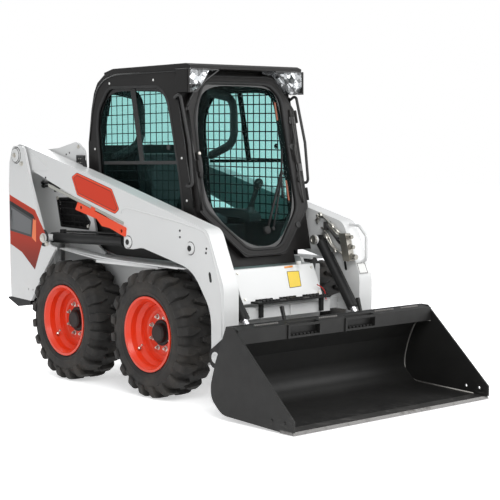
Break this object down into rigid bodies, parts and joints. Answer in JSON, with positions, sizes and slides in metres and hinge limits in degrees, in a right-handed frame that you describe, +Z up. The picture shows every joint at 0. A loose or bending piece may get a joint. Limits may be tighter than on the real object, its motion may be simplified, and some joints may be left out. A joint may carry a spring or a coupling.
{
  "type": "skid steer loader",
  "caption": "Compact four-wheel loader with an enclosed front-door cab, radial lift arms pivoted on rear uprights and a hinged dirt bucket on a quick coupler.",
  "frame": {"origin": "on the ground, at the middle of the overall length and width", "axes": "-Y towards the bucket, +X towards the machine's left, +Z up"},
  "size_m": [1.575, 3.08, 2],
  "materials": {
    "black_paint": "satin black paint",
    "body_paint": "satin white paint",
    "bucket_paint": "satin charcoal paint",
    "cab_paint": "textured warm charcoal paint",
    "cab_trim": "grained black plastic",
    "coupler_steel": "zinc-plated steel",
    "hose_rubber": "ribbed hydraulic hose",
    "hub_steel": "dark painted steel",
    "lamp_lens": "clear moulded lens",
    "rod_chrome": "hard chrome",
    "seat_vinyl": "black vinyl",
    "signal_paint": "gloss red-orange paint",
    "tail_lens": "red lens",
    "tinted_glass": "green-tinted safety glass",
    "tyre": "matt moulded rubber",
    "wheel_paint": "gloss red-orange paint",
    "worn_steel": "dark steel, worn bright at the edge"
  },
  "bodies": {
    "chassis": {"main_frame": "body_paint", "front_panel": "body_paint", "engine": "black_paint", "rear_bumper": "black_paint", "left_upright": "body_paint", "right_upright": "body_paint", "side_grilles": "black_paint"},
    "cab": {"cab_frame": "cab_paint", "cab_roof": "cab_paint", "side_windows": "tinted_glass", "rear_window": "tinted_glass", "seat": "seat_vinyl", "seat_base": "cab_trim", "control_levers": "cab_trim", "seat_bar": "cab_trim", "headlamps": "lamp_lens", "grab_rail": "cab_trim", "cab_pivots": "cab_paint"},
    "cab_door": {"door_frame": "cab_paint", "door_glass": "tinted_glass", "door_wiper": "black_paint"},
    "tailgate": {"tailgate": "signal_paint", "tail_lamps": "tail_lens"},
    "rear_hood": {"rear_hood": "cab_paint"},
    "lift_arms": {"left_arm": "body_paint", "right_arm": "body_paint", "arm_cross_beam": "body_paint", "front_step": "black_paint", "arm_lock": "signal_paint", "hydraulic_couplers": "coupler_steel", "arm_hoses": "hose_rubber"},
    "lift_barrels": {"lift_barrels": "black_paint"},
    "lift_rods": {"lift_rods": "rod_chrome"},
    "tilt_barrels": {"tilt_barrels": "black_paint"},
    "tilt_rods": {"tilt_rods": "rod_chrome"},
    "bucket": {"bucket_shell": "bucket_paint", "cutting_edge": "worn_steel", "coupler_frame": "bucket_paint"},
    "front_left_wheel": {"front_left_tyre": "tyre", "front_left_rim": "wheel_paint", "front_left_hub": "hub_steel"},
    "front_right_wheel": {"front_right_tyre": "tyre", "front_right_rim": "wheel_paint", "front_right_hub": "hub_steel"},
    "rear_left_wheel": {"rear_left_tyre": "tyre", "rear_left_rim": "wheel_paint", "rear_left_hub": "hub_steel"},
    "rear_right_wheel": {"rear_right_tyre": "tyre", "rear_right_rim": "wheel_paint", "rear_right_hub": "hub_steel"}
  },
  "joints": [
    {"name": "front_left_roll", "type": "hinge", "parent": "chassis", "child": "front_left_wheel", "pos_m": [0.573, -0.1445, 0.386], "axis": [1, 0, 0], "continuous": true},
    {"name": "front_right_roll", "type": "hinge", "parent": "chassis", "child": "front_right_wheel", "pos_m": [-0.573, -0.1445, 0.386], "axis": [1, 0, 0], "continuous": true},
    {"name": "rear_left_roll", "type": "hinge", "parent": "chassis", "child": "rear_left_wheel", "pos_m": [0.573, 0.7555, 0.386], "axis": [1, 0, 0], "continuous": true},
    {"name": "rear_right_roll", "type": "hinge", "parent": "chassis", "child": "rear_right_wheel", "pos_m": [-0.573, 0.7555, 0.386], "axis": [1, 0, 0], "continuous": true},
    {"name": "lift", "type": "hinge", "parent": "chassis", "child": "lift_arms", "pos_m": [0, 1.3875, 1.447], "axis": [-1, 0, 0], "range_deg": [0, 63]},
    {"name": "lift_barrel_swing", "type": "hinge", "parent": "chassis", "child": "lift_barrels", "pos_m": [0, 1.0585, 0.902], "axis": [-1, 0, 0], "range_deg": [0, 62.36]},
    {"name": "lift_rod_slide", "type": "slide", "parent": "lift_barrels", "child": "lift_rods", "axis": [0, -0.9998, 0.0199], "range_m": [0, 0.66521]},
    {"name": "bucket_tilt", "type": "hinge", "parent": "lift_arms", "child": "bucket", "pos_m": [0, -0.6925, 0.3], "axis": [1, 0, 0], "range_deg": [-25, 98]},
    {"name": "tilt_barrel_swing", "type": "hinge", "parent": "lift_arms", "child": "tilt_barrels", "pos_m": [0, -0.4595, 0.914], "axis": [1, 0, 0], "range_deg": [-2.86, 11.19]},
    {"name": "tilt_rod_slide", "type": "slide", "parent": "tilt_barrels", "child": "tilt_rods", "axis": [0, -0.5847, -0.8113], "range_m": [-0.05387, 0.21089]},
    {"name": "door_swing", "type": "hinge", "parent": "cab", "child": "cab_door", "pos_m": [0.449, -0.29095, 1.40822], "axis": [0, 0.2055, 0.9787], "range_deg": [0, 85]},
    {"name": "cab_tilt", "type": "hinge", "parent": "chassis", "child": "cab", "pos_m": [0, 0.8405, 1.24], "axis": [1, 0, 0], "range_deg": [-45, 0]},
    {"name": "tailgate_swing", "type": "hinge", "parent": "chassis", "child": "tailgate", "pos_m": [0.64, 1.5115, 0.9], "axis": [0, 0, -1], "range_deg": [0, 105]},
    {"name": "hood_lift", "type": "hinge", "parent": "chassis", "child": "rear_hood", "pos_m": [0, 0.9255, 1.286], "axis": [1, 0, 0], "range_deg": [0, 60]}
  ],
  "couplings": [
    {"joint": "lift_barrel_swing", "follows": "lift", "ratio": 0.9898},
    {"joint": "lift_rod_slide", "follows": "lift", "m_per_rad": 0.60489},
    {"joint": "tilt_barrel_swing", "follows": "bucket_tilt", "ratio": 0.1141},
    {"joint": "tilt_rod_slide", "follows": "bucket_tilt", "m_per_rad": 0.12324}
  ]
}
